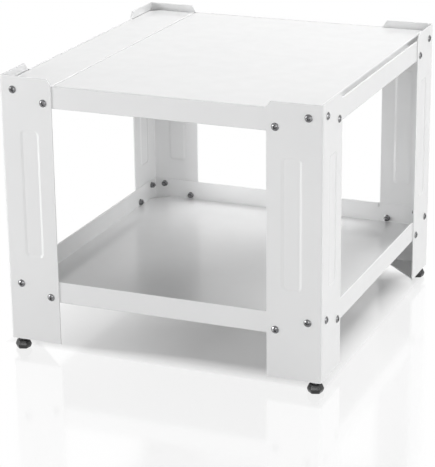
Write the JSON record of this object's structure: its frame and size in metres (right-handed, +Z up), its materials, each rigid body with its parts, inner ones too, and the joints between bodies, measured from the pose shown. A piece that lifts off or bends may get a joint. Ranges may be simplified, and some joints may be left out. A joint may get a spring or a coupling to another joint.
{
  "type": "washing machine stand",
  "caption": "White sheet-steel appliance stand with corner legs, a flush deck above, an open tray shelf below and screw-in levelling feet.",
  "frame": {"origin": "on the floor, midway between the four feet, with the feet screwed fully in", "axes": "+Z up, +X to the right and +Y to the rear, seen from the side that the picture shows at the front"},
  "size_m": [0.6066, 0.6516, 0.518],
  "materials": {
    "powder_coat": "white powder coat, glossy",
    "zinc_steel": "bright zinc plating",
    "black_plastic": "moulded, slightly shiny",
    "black_rubber": "matt"
  },
  "bodies": {
    "stand": {"top_tray": "powder_coat", "shelf_tray": "powder_coat", "main_deck_panel": "powder_coat", "side_deck_panel": "powder_coat", "deck_edge_strip": "powder_coat", "deck_rib_front": "powder_coat", "deck_rib_middle": "powder_coat", "deck_rib_rear": "powder_coat", "leg_front_left": "powder_coat", "leg_front_right": "powder_coat", "leg_rear_left": "powder_coat", "leg_rear_right": "powder_coat", "top_screws_front_left": "zinc_steel", "top_screws_front_right": "zinc_steel", "top_screws_rear_left": "zinc_steel", "top_screws_rear_right": "zinc_steel", "top_nuts_front_left": "zinc_steel", "top_nuts_front_right": "zinc_steel", "top_nuts_rear_left": "zinc_steel", "top_nuts_rear_right": "zinc_steel", "shelf_screws_front_left": "zinc_steel", "shelf_screws_front_right": "zinc_steel", "shelf_screws_rear_left": "zinc_steel", "shelf_screws_rear_right": "zinc_steel", "shelf_nuts_front_left": "zinc_steel", "shelf_nuts_front_right": "zinc_steel", "shelf_nuts_rear_left": "zinc_steel", "shelf_nuts_rear_right": "zinc_steel", "weld_nut_front_left": "zinc_steel", "weld_nut_front_right": "zinc_steel", "weld_nut_rear_left": "zinc_steel", "weld_nut_rear_right": "zinc_steel", "lock_nut_front_left": "zinc_steel", "lock_nut_front_right": "zinc_steel", "lock_nut_rear_left": "zinc_steel", "lock_nut_rear_right": "zinc_steel"},
    "glide_front_left": {"foot_glide_front_left": "black_rubber"},
    "foot_front_left": {"foot_base_front_left": "black_plastic", "foot_stud_front_left": "zinc_steel"},
    "glide_front_right": {"foot_glide_front_right": "black_rubber"},
    "foot_front_right": {"foot_base_front_right": "black_plastic", "foot_stud_front_right": "zinc_steel"},
    "glide_rear_left": {"foot_glide_rear_left": "black_rubber"},
    "foot_rear_left": {"foot_base_rear_left": "black_plastic", "foot_stud_rear_left": "zinc_steel"},
    "glide_rear_right": {"foot_glide_rear_right": "black_rubber"},
    "foot_rear_right": {"foot_base_rear_right": "black_plastic", "foot_stud_rear_right": "zinc_steel"}
  },
  "joints": [
    {"name": "foot_travel_front_left", "type": "slide", "parent": "stand", "child": "glide_front_left", "axis": [0, 0, -1], "range_m": [0, 0.015]},
    {"name": "foot_turn_front_left", "type": "hinge", "parent": "glide_front_left", "child": "foot_front_left", "pos_m": [-0.285, -0.3075, 0.01], "axis": [0, 0, -1], "range_deg": [0, 4320]},
    {"name": "foot_travel_front_right", "type": "slide", "parent": "stand", "child": "glide_front_right", "axis": [0, 0, -1], "range_m": [0, 0.015]},
    {"name": "foot_turn_front_right", "type": "hinge", "parent": "glide_front_right", "child": "foot_front_right", "pos_m": [0.285, -0.3075, 0.01], "axis": [0, 0, -1], "range_deg": [0, 4320]},
    {"name": "foot_travel_rear_left", "type": "slide", "parent": "stand", "child": "glide_rear_left", "axis": [0, 0, -1], "range_m": [0, 0.015]},
    {"name": "foot_turn_rear_left", "type": "hinge", "parent": "glide_rear_left", "child": "foot_rear_left", "pos_m": [-0.285, 0.3075, 0.01], "axis": [0, 0, -1], "range_deg": [0, 4320]},
    {"name": "foot_travel_rear_right", "type": "slide", "parent": "stand", "child": "glide_rear_right", "axis": [0, 0, -1], "range_m": [0, 0.015]},
    {"name": "foot_turn_rear_right", "type": "hinge", "parent": "glide_rear_right", "child": "foot_rear_right", "pos_m": [0.285, 0.3075, 0.01], "axis": [0, 0, -1], "range_deg": [0, 4320]}
  ],
  "couplings": [
    {"joint": "foot_turn_front_left", "follows": "foot_travel_front_left", "rad_per_m": 5026.5},
    {"joint": "foot_turn_front_right", "follows": "foot_travel_front_right", "rad_per_m": 5026.5},
    {"joint": "foot_turn_rear_left", "follows": "foot_travel_rear_left", "rad_per_m": 5026.5},
    {"joint": "foot_turn_rear_right", "follows": "foot_travel_rear_right", "rad_per_m": 5026.5}
  ]
}
